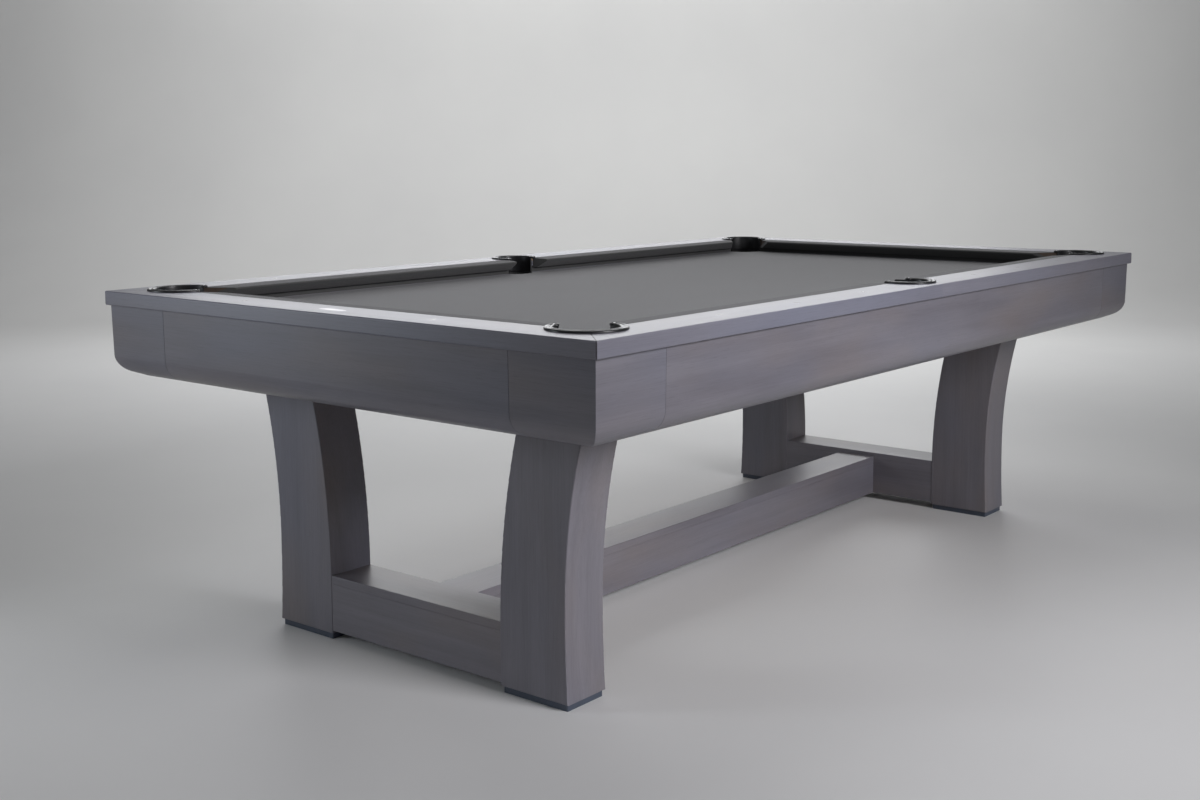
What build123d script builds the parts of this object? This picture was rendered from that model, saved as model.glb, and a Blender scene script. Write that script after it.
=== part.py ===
"""Pool table with a three-piece slate bed, six drop pockets and levelling feet.

Millimetres, +Z up. The origin is on the floor under the middle of the table.
+X runs along the length, +Y across the width. The front long side is at -Y
and the left end at -X. Distances called "setback" or "reach" are measured
inwards from the outer edge of the rails.
"""
from build123d import *
from math import atan2, cos, degrees, radians, sin, sqrt, tan
import os

os.makedirs("parts", exist_ok=True)

# ---------------------------------------------------------------- overall
play_length = 2235.0        # cushion nose to cushion nose, along X
play_width = 1118.0         # cushion nose to cushion nose, along Y
table_height = 784.0        # floor to the top of the rails

# ---------------------------------------------------------------- playing bed
rail_rise = 41.0            # top of the rails above the cloth
cloth = 1.0                 # thickness of the cloth everywhere
slate_thickness = 25.0
slate_setback = 60.0
slate_joint_gap = 0.2
backing_joint_gap = 1.0
backing_thickness = 18.0    # wood strips glued under the slate's edge
backing_width = 70.0

# ---------------------------------------------------------------- rails
rail_edge_height = 32.0     # visible height of the rail's outer edge
rail_edge_round = 3.0
rail_corner_round = 5.0
rail_wood_reach = 112.0     # outer edge to the back of the cushion
cushion_depth = 46.5        # back of the cushion to its nose, cloth included
mitre_groove = 0.8          # width and depth of the fine groove at the rails' mitres
sub_rail_setback = 56.0     # where the rail steps down on to the slate
strip_width = 8.0           # feather strip and its rebate
strip_depth = 8.0
strip_gap = 0.15
sight_setback = 54.0
sight_length = 22.0
sight_width = 11.0
inlay_depth = 2.0
inlay_gap = 0.1
plate_length = 78.0
plate_width = 20.0

# ---------------------------------------------------------------- cushions
nose_height = 36.5          # nose line above the cloth
nose_drop = 2.0             # cushion's top below the rail's top, at the nose
cushion_sink = 0.2          # the same at the cushion's back
nose_flat = 3.0
cushion_foot = 12.0         # flat underside, from the back towards the nose
cushion_heel = 14.0         # underside of the cushion at its back, above the cloth
corner_mouth = 121.0
corner_facing = 142.0       # angle between nose line and facing
side_mouth = 130.0
side_facing = 104.0

# ---------------------------------------------------------------- pockets
corner_pocket_offset = 37.0  # pocket centre outside both nose lines
corner_pocket_r = 60.0
side_pocket_offset = 69.0
side_pocket_r = 50.0
collar_flange = 12.0        # flange outside the skirt's outer wall
collar_thickness = 5.0
collar_round = 1.5
collar_ear_r = 9.0
skirt_wall = 4.0
skirt_floor_gap = 0.3
pocket_gap = 0.5
bucket_depth = 108.0
bucket_wall = 3.0
bucket_floor = 4.0
bucket_below_bed = 0.6
bucket_slate_gap = 1.5
tab_length = 22.0
tab_width = 20.0
tab_thickness = 4.0
tab_hole_reach = 12.0       # bucket's wall to the tab's screw

# ---------------------------------------------------------------- cabinet
apron_setback = 10.0        # shadow line under the rail's edge
apron_lean = 2.0
apron_straight = 112.0      # height of the nearly upright face
apron_round = 45.0
apron_round_turn = 68.0     # degrees turned by the rounded lower edge
apron_tuck = 64.0           # how far the underside reaches inwards
apron_wall = 22.0
apron_lip = 16.0
corner_block_arm = 208.0
seam_chamfer = 0.7          # eased ends where aprons meet corner blocks
mitre_round = 1.2           # eased outer corner of a corner block
bracket_wall = 3.0
bracket_width = 40.0
bracket_drop = 50.0
bracket_reach = 18.0
bracket_share = 0.7         # place of a bracket along a corner block's arm

# ---------------------------------------------------------------- sub-frame
beam_height = 66.0
beam_width = 38.0
beam_setback = 198.5
beam_end_setback = 216.0
support_width = 90.0

# ---------------------------------------------------------------- legs
leg_thickness = 118.0       # along X
leg_end_setback = 310.0     # table end to the middle of the leg
leg_foot_setback = 280.5
leg_waist_setback = 286.0
leg_top_setback = 213.5
leg_foot_width = 179.0
leg_top_width = 169.0
leg_waist_height = 205.0
leg_edge_round = 2.0
foot_plate_thickness = 14.0
foot_plate_inset = 4.5
foot_plate_chamfer = 1.5
mount_plate_thickness = 6.0
mount_plate_length = 120.0
bolt_edge = 14.0            # bolt centre to the edge of the leg or the plate

# ---------------------------------------------------------------- levelling screws
screw_r = 8.0
screw_length = 55.0
screw_fit = 0.05
screw_clearance = 1.0       # around the screw above the insert
collar_nut_flats = 22.0
collar_nut_height = 8.5
collar_nut_gap = 2.0
collar_nut_sunk = 0.5       # top of the nut below the top of the foot plate
pilot_r = 6.0
pilot_height = 3.5
insert_r = 12.0
insert_length = 30.0

# ---------------------------------------------------------------- stretchers
stretcher_bottom = 20.0
end_stretcher_height = 128.0
stretcher_recess = 1.5
centre_stretcher_height = 116.0
centre_stretcher_width = 118.0
cap_board = 19.0            # seam of the top board below the top edge
seam_groove = 0.8
stretcher_round = 1.5
dowel_r = 6.0
dowel_half = 30.0
dowel_spread = 60.0

# ---------------------------------------------------------------- fasteners
fastener_gap = 0.1
countersink_half_angle = 41.0
bolt_r = 5.0
bolt_head_r = 9.0
bolt_head_height = 6.0
bolt_washer_r = 12.0
bolt_washer_height = 2.0
bolt_grip = 28.0            # length of the bolt inside the rail
rail_bolt_setback = 84.0
slate_screw_r = 3.0
slate_screw_head_r = 7.0
slate_screw_length = 56.0
slate_screw_inset = 30.0
frame_screw_r = 4.0
frame_screw_head_r = 7.5
frame_screw_head = 5.0
frame_screw_length = 88.0
frame_screw_spread = 30.0
leg_bolt_r = 5.0
leg_bolt_grip = 45.0        # bolt up into the beam
leg_bolt_length = 50.0      # screw down into the leg
leg_bolt_head_r = 8.5
leg_bolt_head = 5.0
wood_screw_r = 2.0
wood_screw_head_r = 4.0
wood_screw_head = 2.2
wood_screw_length = 15.0

# ---------------------------------------------------------------- worked out
overshoot = 1.0             # how far a cutter runs past the face that it cuts
rail_reach = rail_wood_reach + cushion_depth
past_edge = sqrt(2) * rail_reach    # from any pocket, diagonally, to beyond the table's edge
table_length = play_length + 2 * rail_reach
table_width = play_width + 2 * rail_reach
half_length = table_length / 2
half_width = table_width / 2
bed_z = table_height - rail_rise
slate_top_z = bed_z - cloth
slate_bottom_z = slate_top_z - slate_thickness
backing_bottom_z = slate_bottom_z - backing_thickness
rail_edge_z = table_height - rail_edge_height
beam_bottom_z = slate_bottom_z - beam_height
leg_top_z = beam_bottom_z - mount_plate_thickness
slate_length = table_length - 2 * slate_setback
slate_width = table_width - 2 * slate_setback
slate_seam_x = slate_length / 6
leg_x = half_length - leg_end_setback
mount_plate_width = leg_thickness + 4 * bolt_edge
beam_y = half_width - beam_setback - beam_width / 2
beam_inner_y = beam_y - beam_width / 2
stretcher_end_y = half_width - leg_foot_setback - leg_foot_width
corner_x = play_length / 2 + corner_pocket_offset
corner_y = play_width / 2 + corner_pocket_offset
side_y = play_width / 2 + side_pocket_offset

CORNERS = {
    "front_left": (-1, -1),
    "front_right": (1, -1),
    "back_left": (-1, 1),
    "back_right": (1, 1),
}


def mouth_half_angle(radius, depth, turn):
    """Angle from the mouth's axis to where the skirt meets the back of a cushion."""
    return turn - degrees(atan2(depth, sqrt(radius**2 - depth**2)))


corner_depth = corner_pocket_offset - cushion_depth
side_depth = side_pocket_offset - cushion_depth
corner_half = mouth_half_angle(corner_pocket_r + skirt_wall, corner_depth, 45)
side_half = mouth_half_angle(side_pocket_r + skirt_wall, side_depth, 90)

# name: (centre x, centre y, well radius, direction out of the table, half angle of the mouth)
POCKETS = {}
for corner_name, (sx, sy) in CORNERS.items():
    outward = degrees(atan2(sy, sx))
    POCKETS[corner_name] = (sx * corner_x, sy * corner_y, corner_pocket_r, outward, corner_half)
POCKETS["front_side"] = (0.0, -side_y, side_pocket_r, -90.0, side_half)
POCKETS["back_side"] = (0.0, side_y, side_pocket_r, 90.0, side_half)


def save(part, name):
    """Label one finished piece and write it."""
    part.label = name
    export_step(part, f"parts/{name}.step")


def mirrored(part, sx, sy):
    """The piece as modelled at front left (-1, -1), moved to another corner."""
    with BuildPart() as copy:
        add(part)
        if sx > 0:
            mirror(about=Plane.YZ, mode=Mode.REPLACE)
        if sy > 0:
            mirror(about=Plane.XZ, mode=Mode.REPLACE)
    return copy.part


def slab(points, bottom, top):
    """An upright prism on a plan outline, kept out of any other builder."""
    with BuildPart() as prism:
        with BuildSketch(Plane.XY.offset(bottom)):
            with BuildLine():
                Polyline(*points, close=True)
            make_face()
        extrude(amount=top - bottom)
    return prism.part


def pocket_space(extra, bottom, top, reach):
    """Every pocket well, widened by extra and opened outwards by reach."""
    with BuildPart() as space:
        for x, y, radius, outward, _ in POCKETS.values():
            with BuildSketch(Plane.XY.offset(bottom)):
                with Locations((x, y)):
                    Circle(radius + extra)
                if reach > 0:
                    middle_x = x + cos(radians(outward)) * reach / 2
                    middle_y = y + sin(radians(outward)) * reach / 2
                    with Locations(Location((middle_x, middle_y, 0), outward)):
                        Rectangle(reach, 2 * (radius + extra))
            extrude(amount=top - bottom)
    return space.part


def hex_bolt(shank_r, head_r, head_height, length):
    """Bolt standing up from z = 0, its hexagonal head below."""
    with BuildPart() as bolt:
        with BuildSketch():
            Circle(shank_r)
        extrude(amount=length)
        with BuildSketch():
            RegularPolygon(head_r, 6)
        extrude(amount=-head_height)
    return bolt.part


def countersunk_screw(shank_r, head_r, length):
    """Screw pointing down, the flat top of its head at z = 0."""
    with BuildPart() as screw:
        with BuildSketch(Plane.XZ):
            with BuildLine():
                Polyline(
                    (0, 0),
                    (head_r, 0),
                    (shank_r, -(head_r - shank_r) / tan(radians(countersink_half_angle))),
                    (shank_r, -length),
                    (0, -length),
                    close=True,
                )
            make_face()
        revolve(axis=Axis.Z)
    return screw.part


def dowel(start, along, length):
    """A plain round dowel from start along along."""
    with BuildPart() as pin:
        with BuildSketch(Plane(origin=start, z_dir=along)):
            Circle(dowel_r)
        extrude(amount=length)
    return pin.part


def dowel_hole(start, along):
    """The space that a dowel needs in one of the pieces that it joins."""
    with BuildPart() as hole:
        with BuildSketch(Plane(origin=start, z_dir=along)):
            Circle(dowel_r + fastener_gap)
        extrude(amount=dowel_half + fastener_gap, both=True)
    return hole.part


# ================================================================ legs and feet
leg_foot_y = -(half_width - leg_foot_setback)
leg_waist_y = -(half_width - leg_waist_setback)
leg_top_y = -(half_width - leg_top_setback)
leg_inner_y = leg_foot_y + leg_foot_width
leg_top_inner_y = leg_top_y + leg_top_width
leg_straight_z = stretcher_bottom + end_stretcher_height
foot_y = leg_foot_y + leg_foot_width / 2
mount_y = leg_top_y + leg_top_width / 2
bolt_x = leg_thickness / 2 + bolt_edge
bolt_y = mount_plate_length / 2 - bolt_edge
nut_bottom = foot_plate_thickness - collar_nut_sunk - collar_nut_height
nut_seat_r = collar_nut_flats / sqrt(3) + collar_nut_gap
dowel_z = stretcher_bottom + end_stretcher_height / 2

with BuildPart() as leg:
    with BuildSketch(Plane.YZ.offset(-leg_x - leg_thickness / 2)):
        with BuildLine():
            foot_outer = (leg_foot_y, foot_plate_thickness)
            foot_inner = (leg_inner_y, foot_plate_thickness)
            waist = (leg_waist_y, leg_waist_height)
            top_outer = (leg_top_y, leg_top_z)
            top_inner = (leg_top_inner_y, leg_top_z)
            straight_end = (leg_inner_y, leg_straight_z)
            Line(foot_inner, foot_outer)
            TangentArc(waist, foot_outer, tangent=(0, -1))
            TangentArc(waist, top_outer, tangent=(0, 1))
            Line(top_outer, top_inner)
            TangentArc(straight_end, top_inner, tangent=(0, 1))
            Line(straight_end, foot_inner)
        make_face()
    extrude(amount=leg_thickness)
    fillet(leg.faces().filter_by(Axis.X).edges(), leg_edge_round)
    with Locations(Location((-leg_x, foot_y, foot_plate_thickness), (180, 0, 0))):
        Hole(insert_r + fastener_gap, depth=insert_length)
        Hole(screw_r + screw_clearance, depth=insert_length + screw_length)
    with Locations((-leg_x, mount_y, leg_top_z)):
        with GridLocations(1, 2 * bolt_y, 1, 2):
            Hole(leg_bolt_r + fastener_gap, depth=leg_bolt_length)
    for step in (-0.5, 0.5):
        place_z = dowel_z + step * dowel_spread
        add(dowel_hole((-leg_x, leg_inner_y, place_z), (0, 1, 0)), mode=Mode.SUBTRACT)

with BuildPart() as foot_plate:
    with BuildSketch():
        with Locations((-leg_x, foot_y)):
            Rectangle(leg_thickness - 2 * foot_plate_inset, leg_foot_width - 2 * foot_plate_inset)
    extrude(amount=foot_plate_thickness)
    chamfer(foot_plate.edges().filter_by(Axis.Z), foot_plate_chamfer)
    with Locations((-leg_x, foot_y, foot_plate_thickness)):
        Hole(nut_seat_r, depth=foot_plate_thickness - nut_bottom)
        Hole(pilot_r + screw_fit, depth=foot_plate_thickness - nut_bottom + pilot_height + collar_nut_sunk)

with BuildPart() as levelling_screw:
    with BuildSketch(Plane.XY.offset(nut_bottom)):
        with Locations((-leg_x, foot_y)):
            RegularPolygon(collar_nut_flats / 2, 6, major_radius=False)
    extrude(amount=collar_nut_height)
    with BuildSketch(Plane.XY.offset(nut_bottom - pilot_height)):
        with Locations((-leg_x, foot_y)):
            Circle(pilot_r)
    extrude(amount=pilot_height)
    with BuildSketch(Plane.XY.offset(nut_bottom + collar_nut_height)):
        with Locations((-leg_x, foot_y)):
            Circle(screw_r)
    extrude(amount=screw_length)

with BuildPart() as insert:
    with BuildSketch(Plane.XY.offset(foot_plate_thickness)):
        with Locations((-leg_x, foot_y)):
            Circle(insert_r)
            Circle(screw_r + screw_fit, mode=Mode.SUBTRACT)
    extrude(amount=insert_length)

with BuildPart() as mount_plate:
    with BuildSketch(Plane.XY.offset(leg_top_z)):
        with Locations((-leg_x, mount_y)):
            Rectangle(mount_plate_width, mount_plate_length)
    extrude(amount=mount_plate_thickness)
    with Locations((-leg_x, mount_y, leg_top_z + mount_plate_thickness)):
        with GridLocations(2 * bolt_x, 2 * bolt_y, 2, 2):
            Hole(leg_bolt_r + fastener_gap)
        with GridLocations(1, 2 * bolt_y, 1, 2):
            CounterSinkHole(leg_bolt_r + fastener_gap, leg_bolt_head_r + fastener_gap)

with BuildPart() as leg_bolt_set:
    with Locations((-leg_x, mount_y, leg_top_z)):
        with GridLocations(2 * bolt_x, 2 * bolt_y, 2, 2):
            add(hex_bolt(leg_bolt_r, leg_bolt_head_r, leg_bolt_head, mount_plate_thickness + leg_bolt_grip))
    with Locations((-leg_x, mount_y, leg_top_z + mount_plate_thickness)):
        with GridLocations(1, 2 * bolt_y, 1, 2):
            add(countersunk_screw(leg_bolt_r, leg_bolt_head_r, leg_bolt_length))

for corner_name, (sx, sy) in CORNERS.items():
    save(mirrored(leg.part, sx, sy), f"leg_{corner_name}")
    save(mirrored(foot_plate.part, sx, sy), f"foot_plate_{corner_name}")
    save(mirrored(levelling_screw.part, sx, sy), f"levelling_screw_{corner_name}")

with BuildPart() as levelling_inserts:
    for sx, sy in CORNERS.values():
        add(mirrored(insert.part, sx, sy))
save(levelling_inserts.part, "levelling_inserts")

with BuildPart() as leg_mount_plates:
    for sx, sy in CORNERS.values():
        add(mirrored(mount_plate.part, sx, sy))
save(leg_mount_plates.part, "leg_mount_plates")

with BuildPart() as leg_bolts:
    for sx, sy in CORNERS.values():
        add(mirrored(leg_bolt_set.part, sx, sy))
save(leg_bolts.part, "leg_bolts")

# ================================================================ stretchers
end_stretcher_width = leg_thickness - 2 * stretcher_recess
centre_reach = leg_x - end_stretcher_width / 2
centre_dowel_y = centre_stretcher_width / 4
centre_dowel_z = stretcher_bottom + centre_stretcher_height / 2


def stretcher(centre_x, length, width, height, along_x):
    """A boxed beam with a fine groove where its top board is glued on."""
    size_x = length if along_x else width
    size_y = width if along_x else length
    run = Axis.X if along_x else Axis.Y
    seam_z = stretcher_bottom + height - cap_board
    with BuildPart() as beam:
        with BuildSketch(Plane.XY.offset(stretcher_bottom)):
            with Locations((centre_x, 0)):
                Rectangle(size_x, size_y)
        extrude(amount=height)
        fillet(beam.edges().filter_by(run), stretcher_round)
        with BuildSketch(Plane.XY.offset(seam_z)):
            with Locations((centre_x, 0)):
                Rectangle(size_x, size_y)
                inner_x = size_x if along_x else size_x - 2 * seam_groove
                inner_y = size_y - 2 * seam_groove if along_x else size_y
                Rectangle(inner_x, inner_y, mode=Mode.SUBTRACT)
        extrude(amount=seam_groove, mode=Mode.SUBTRACT)
    return beam.part


end_joint_places = []
for dowel_step in (-0.5, 0.5):
    for sy in (-1, 1):
        end_joint_places.append((sy, dowel_z + dowel_step * dowel_spread))

for side_name, sx in (("left", -1), ("right", 1)):
    with BuildPart() as end_stretcher:
        add(stretcher(sx * leg_x, 2 * stretcher_end_y, end_stretcher_width, end_stretcher_height, False))
        for sy, place_z in end_joint_places:
            add(dowel_hole((sx * leg_x, sy * stretcher_end_y, place_z), (0, 1, 0)), mode=Mode.SUBTRACT)
        for sy in (-1, 1):
            start = (sx * centre_reach, sy * centre_dowel_y, centre_dowel_z)
            add(dowel_hole(start, (1, 0, 0)), mode=Mode.SUBTRACT)
    save(end_stretcher.part, f"end_stretcher_{side_name}")

with BuildPart() as centre_stretcher:
    add(stretcher(0, 2 * centre_reach, centre_stretcher_width, centre_stretcher_height, True))
    for sx in (-1, 1):
        for sy in (-1, 1):
            start = (sx * centre_reach, sy * centre_dowel_y, centre_dowel_z)
            add(dowel_hole(start, (1, 0, 0)), mode=Mode.SUBTRACT)
save(centre_stretcher.part, "centre_stretcher")

with BuildPart() as stretcher_dowels:
    for sx in (-1, 1):
        for sy, place_z in end_joint_places:
            start = (sx * leg_x, sy * (stretcher_end_y - dowel_half), place_z)
            add(dowel(start, (0, sy, 0), 2 * dowel_half))
        for sy in (-1, 1):
            start = (sx * (centre_reach - dowel_half), sy * centre_dowel_y, centre_dowel_z)
            add(dowel(start, (sx, 0, 0), 2 * dowel_half))
save(stretcher_dowels.part, "stretcher_dowels")

# ================================================================ small fixings
def direction(angle):
    """Unit step in plan at an angle in degrees."""
    return cos(radians(angle)), sin(radians(angle))


def wood_screws_at(planes):
    """Round-headed wood screws, each driven along its plane's normal."""
    with BuildPart() as screws:
        for plane in planes:
            with BuildSketch(plane):
                Circle(wood_screw_r)
            extrude(amount=wood_screw_length)
            with BuildSketch(plane):
                Circle(wood_screw_head_r)
            extrude(amount=-wood_screw_head)
    return screws.part


def wood_screw_holes(planes):
    """The holes that those screws need."""
    with BuildPart() as holes:
        for plane in planes:
            with BuildSketch(plane):
                Circle(wood_screw_r + fastener_gap)
            extrude(amount=wood_screw_length + fastener_gap)
    return holes.part


# One angle bracket in the middle of the front, between the apron and the rail.
apron_inner = apron_setback + apron_lean + apron_wall
bracket_back_y = apron_inner - half_width
bracket_middle_y = bracket_back_y + (bracket_wall + bracket_reach) / 2
bracket_low_z = rail_edge_z - bracket_drop + bracket_wall + wood_screw_head_r
up = Plane(origin=(0, bracket_middle_y, rail_edge_z - bracket_wall), z_dir=(0, 0, 1))
out = Plane(origin=(0, bracket_back_y + bracket_wall, bracket_low_z), z_dir=(0, -1, 0))
bracket_screws = wood_screws_at((up, out))
bracket_holes = wood_screw_holes((up, out))

with BuildPart() as bracket:
    with BuildSketch(Plane.YZ.offset(-bracket_width / 2)):
        with BuildLine():
            Polyline(
                (bracket_back_y, rail_edge_z),
                (bracket_back_y + bracket_reach, rail_edge_z),
                (bracket_back_y + bracket_reach, rail_edge_z - bracket_wall),
                (bracket_back_y + bracket_wall, rail_edge_z - bracket_wall),
                (bracket_back_y + bracket_wall, rail_edge_z - bracket_drop),
                (bracket_back_y, rail_edge_z - bracket_drop),
                close=True,
            )
        make_face()
    extrude(amount=bracket_width)
    add(bracket_holes, mode=Mode.SUBTRACT)

apron_half_x = half_length - corner_block_arm
apron_half_y = half_width - corner_block_arm
bracket_arm = corner_block_arm * bracket_share
side_bracket_xs = [play_length * step / 8 for step in (-3, -1, 1, 3)]
side_bracket_xs = side_bracket_xs + [-half_length + bracket_arm, half_length - bracket_arm]
end_bracket_ys = [play_width * step / 4 for step in (-1, 1)]
end_bracket_ys = end_bracket_ys + [-half_width + bracket_arm, half_width - bracket_arm]
end_shift = half_length - half_width
bracket_places = []
for x in side_bracket_xs:
    bracket_places.append(Location((x, 0, 0), (0, 0, 0)))
    bracket_places.append(Location((x, 0, 0), (0, 0, 180)))
for y in end_bracket_ys:
    bracket_places.append(Location((-end_shift, y, 0), (0, 0, -90)))
    bracket_places.append(Location((end_shift, y, 0), (0, 0, 90)))

with BuildPart() as all_bracket_holes:
    with Locations(*bracket_places):
        add(bracket_holes)

with BuildPart() as apron_brackets:
    with Locations(*bracket_places):
        add(bracket.part)
save(apron_brackets.part, "apron_brackets")

# Two fixing tabs per bucket, along the wood strips under the slate.
TAB_ANGLES = {"front_side": (0, 180), "back_side": (0, 180)}
for corner_name, (sx, sy) in CORNERS.items():
    TAB_ANGLES[corner_name] = (0 if sx < 0 else 180, 90 if sy < 0 else 270)

tab_planes = []
for pocket_name, (x, y, radius, _, _) in POCKETS.items():
    for angle in TAB_ANGLES[pocket_name]:
        step_x, step_y = direction(angle)
        reach = radius + tab_hole_reach
        place = (x + reach * step_x, y + reach * step_y, backing_bottom_z - tab_thickness)
        tab_planes.append(Plane(origin=place, z_dir=(0, 0, 1)))
tab_holes = wood_screw_holes(tab_planes)

with BuildPart() as wood_screws:
    add(wood_screws_at(tab_planes))
    with Locations(*bracket_places):
        add(bracket_screws)
save(wood_screws.part, "wood_screws")

# ================================================================ sub-frame
beam_reach = half_length - beam_end_setback
beam_mid_z = beam_bottom_z + beam_height / 2
outer_screw_x = beam_reach - slate_screw_inset
slate_screw_xs = []
for sx in (-1, 1):
    slate_screw_xs.append(sx * outer_screw_x)
    slate_screw_xs.append(sx * (slate_seam_x + slate_screw_inset))
    slate_screw_xs.append(sx * (slate_seam_x - slate_screw_inset))
slate_screw_places = [(x, sy * beam_y) for x in slate_screw_xs for sy in (-1, 1)]
cross_member_xs = (-leg_x, -slate_seam_x, 0.0, slate_seam_x, leg_x)
frame_screw_zs = (beam_mid_z - frame_screw_spread / 2, beam_mid_z + frame_screw_spread / 2)


def frame_screw_cutter(radius, gap):
    """Every screw that ties a long beam to a cross member, head outside."""
    head_y = beam_y + beam_width / 2
    with BuildPart() as screws:
        for x in cross_member_xs:
            for z in frame_screw_zs:
                for sy in (-1, 1):
                    with BuildSketch(Plane(origin=(x, sy * head_y, z), z_dir=(0, sy, 0))):
                        Circle(radius)
                    extrude(amount=-(frame_screw_length + gap))
    return screws.part


frame_screw_holes = frame_screw_cutter(frame_screw_r + fastener_gap, fastener_gap)

for side_name, sy in (("front", -1), ("back", 1)):
    with BuildPart() as frame_beam:
        with BuildSketch(Plane.XY.offset(beam_bottom_z)):
            with Locations((0, sy * beam_y)):
                Rectangle(2 * beam_reach, beam_width)
        extrude(amount=beam_height)
        add(frame_screw_holes, mode=Mode.SUBTRACT)
        with Locations(*[(x, y, slate_bottom_z) for x, y in slate_screw_places]):
            Hole(slate_screw_r + fastener_gap, depth=slate_screw_length - slate_thickness + fastener_gap)
    save(frame_beam.part, f"frame_beam_{side_name}")

for side_name, sx in (("left", -1), ("right", 1)):
    with BuildPart() as leg_beam:
        with BuildSketch(Plane.XY.offset(beam_bottom_z)):
            with Locations((sx * leg_x, 0)):
                Rectangle(mount_plate_width, 2 * beam_inner_y)
        extrude(amount=beam_height)
        add(frame_screw_holes, mode=Mode.SUBTRACT)
        for sy in (-1, 1):
            with Locations(Location((sx * leg_x, sy * mount_y, beam_bottom_z), (180, 0, 0))):
                with GridLocations(2 * bolt_x, 2 * bolt_y, 2, 2):
                    Hole(leg_bolt_r + fastener_gap, depth=leg_bolt_grip + fastener_gap)
    save(leg_beam.part, f"leg_beam_{side_name}")

with BuildPart() as slate_supports:
    for x in (-slate_seam_x, 0, slate_seam_x):
        with BuildSketch(Plane.XY.offset(beam_bottom_z)):
            with Locations((x, 0)):
                Rectangle(support_width, 2 * beam_inner_y)
        extrude(amount=beam_height)
    add(frame_screw_holes, mode=Mode.SUBTRACT)
save(slate_supports.part, "slate_supports")

with BuildPart() as frame_screws:
    add(frame_screw_cutter(frame_screw_r, 0))
    for x in cross_member_xs:
        for z in frame_screw_zs:
            for sy in (-1, 1):
                head_y = sy * (beam_y + beam_width / 2)
                with BuildSketch(Plane(origin=(x, head_y, z), z_dir=(0, sy, 0))):
                    RegularPolygon(frame_screw_head_r, 6)
                extrude(amount=frame_screw_head)
save(frame_screws.part, "frame_screws")

# ================================================================ slates and bed cloth
rail_bolt_places = []
for sy in (-1, 1):
    for step in (-7, -4, -1, 1, 4, 7):
        rail_bolt_places.append((play_length * step / 16, sy * (half_width - rail_bolt_setback)))
for sx in (-1, 1):
    for step in (-3, 0, 3):
        rail_bolt_places.append((sx * (half_length - rail_bolt_setback), play_width * step / 8))

slate_holes = pocket_space(bucket_slate_gap, slate_bottom_z - overshoot, bed_z + overshoot, past_edge)
backing_holes = pocket_space(
    2 * bucket_slate_gap, backing_bottom_z - overshoot, slate_bottom_z + overshoot, past_edge
)
slate_xs = (-slate_length / 2, -slate_seam_x, slate_seam_x, slate_length / 2)

for index, slate_name in enumerate(("slate_left", "slate_centre", "slate_right")):
    first = slate_xs[index] + slate_joint_gap / 2
    last = slate_xs[index + 1] - slate_joint_gap / 2
    with BuildPart() as slate:
        with BuildSketch(Plane.XY.offset(slate_bottom_z)):
            with Locations(((first + last) / 2, 0)):
                Rectangle(last - first, slate_width)
        extrude(amount=slate_thickness)
        add(slate_holes, mode=Mode.SUBTRACT)
        inside = [(x, y, slate_top_z) for x, y in slate_screw_places if first < x < last]
        with Locations(*inside):
            CounterSinkHole(slate_screw_r + fastener_gap, slate_screw_head_r + fastener_gap)
        inside = [(x, y, slate_top_z) for x, y in rail_bolt_places if first < x < last]
        with Locations(*inside):
            Hole(bolt_r + fastener_gap)
    save(slate.part, slate_name)

with BuildPart() as slate_screws:
    with Locations(*[(x, y, slate_top_z) for x, y in slate_screw_places]):
        add(countersunk_screw(slate_screw_r, slate_screw_head_r, slate_screw_length))
save(slate_screws.part, "slate_screws")

with BuildPart() as slate_backing:
    with BuildSketch(Plane.XY.offset(backing_bottom_z)):
        Rectangle(slate_length, slate_width)
        Rectangle(slate_length - 2 * backing_width, slate_width - 2 * backing_width, mode=Mode.SUBTRACT)
        with Locations((-slate_seam_x, 0), (slate_seam_x, 0)):
            Rectangle(backing_joint_gap, slate_width, mode=Mode.SUBTRACT)
    extrude(amount=backing_thickness)
    add(backing_holes, mode=Mode.SUBTRACT)
    with Locations(*[(x, y, slate_bottom_z) for x, y in rail_bolt_places]):
        Hole(bolt_r + fastener_gap)
    add(tab_holes, mode=Mode.SUBTRACT)
save(slate_backing.part, "slate_backing")

with BuildPart() as bed_cloth:
    with BuildSketch(Plane.XY.offset(slate_top_z)):
        Rectangle(slate_length, slate_width)
        with Locations(*rail_bolt_places):
            Circle(bolt_r + fastener_gap, mode=Mode.SUBTRACT)
    extrude(amount=cloth)
    add(slate_holes, mode=Mode.SUBTRACT)
save(bed_cloth.part, "bed_cloth")

# ================================================================ rails
rebate_setback = rail_wood_reach - strip_width
rebate_z = table_height - strip_depth
pocket_cut = pocket_space(skirt_wall + pocket_gap, bed_z - overshoot, table_height + overshoot, 0)
side_sight_xs = [play_length * step / 8 for step in (-3, -2, -1, 1, 2, 3)]
end_sight_ys = [play_width * step / 4 for step in (-1, 0, 1)]
side_sight_y = half_width - sight_setback
end_sight_x = half_length - sight_setback
along_end = [(sx * end_sight_x, y) for sx in (-1, 1) for y in end_sight_ys if sx > 0 or y != 0]
along_side = [(x, sy * side_sight_y) for x in side_sight_xs for sy in (-1, 1)]


def inlays(gap, depth):
    """Diamond sights, and their recesses when gap is not zero."""
    long_half = sight_length / 2 + gap
    short_half = sight_width / 2 + gap
    with BuildPart() as diamonds:
        with BuildSketch(Plane.XY.offset(table_height)):
            with Locations(*along_side):
                Polygon((short_half, 0), (0, long_half), (-short_half, 0), (0, -long_half))
            with Locations(*along_end):
                Polygon((long_half, 0), (0, short_half), (-long_half, 0), (0, -short_half))
        extrude(amount=-depth)
    return diamonds.part


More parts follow.
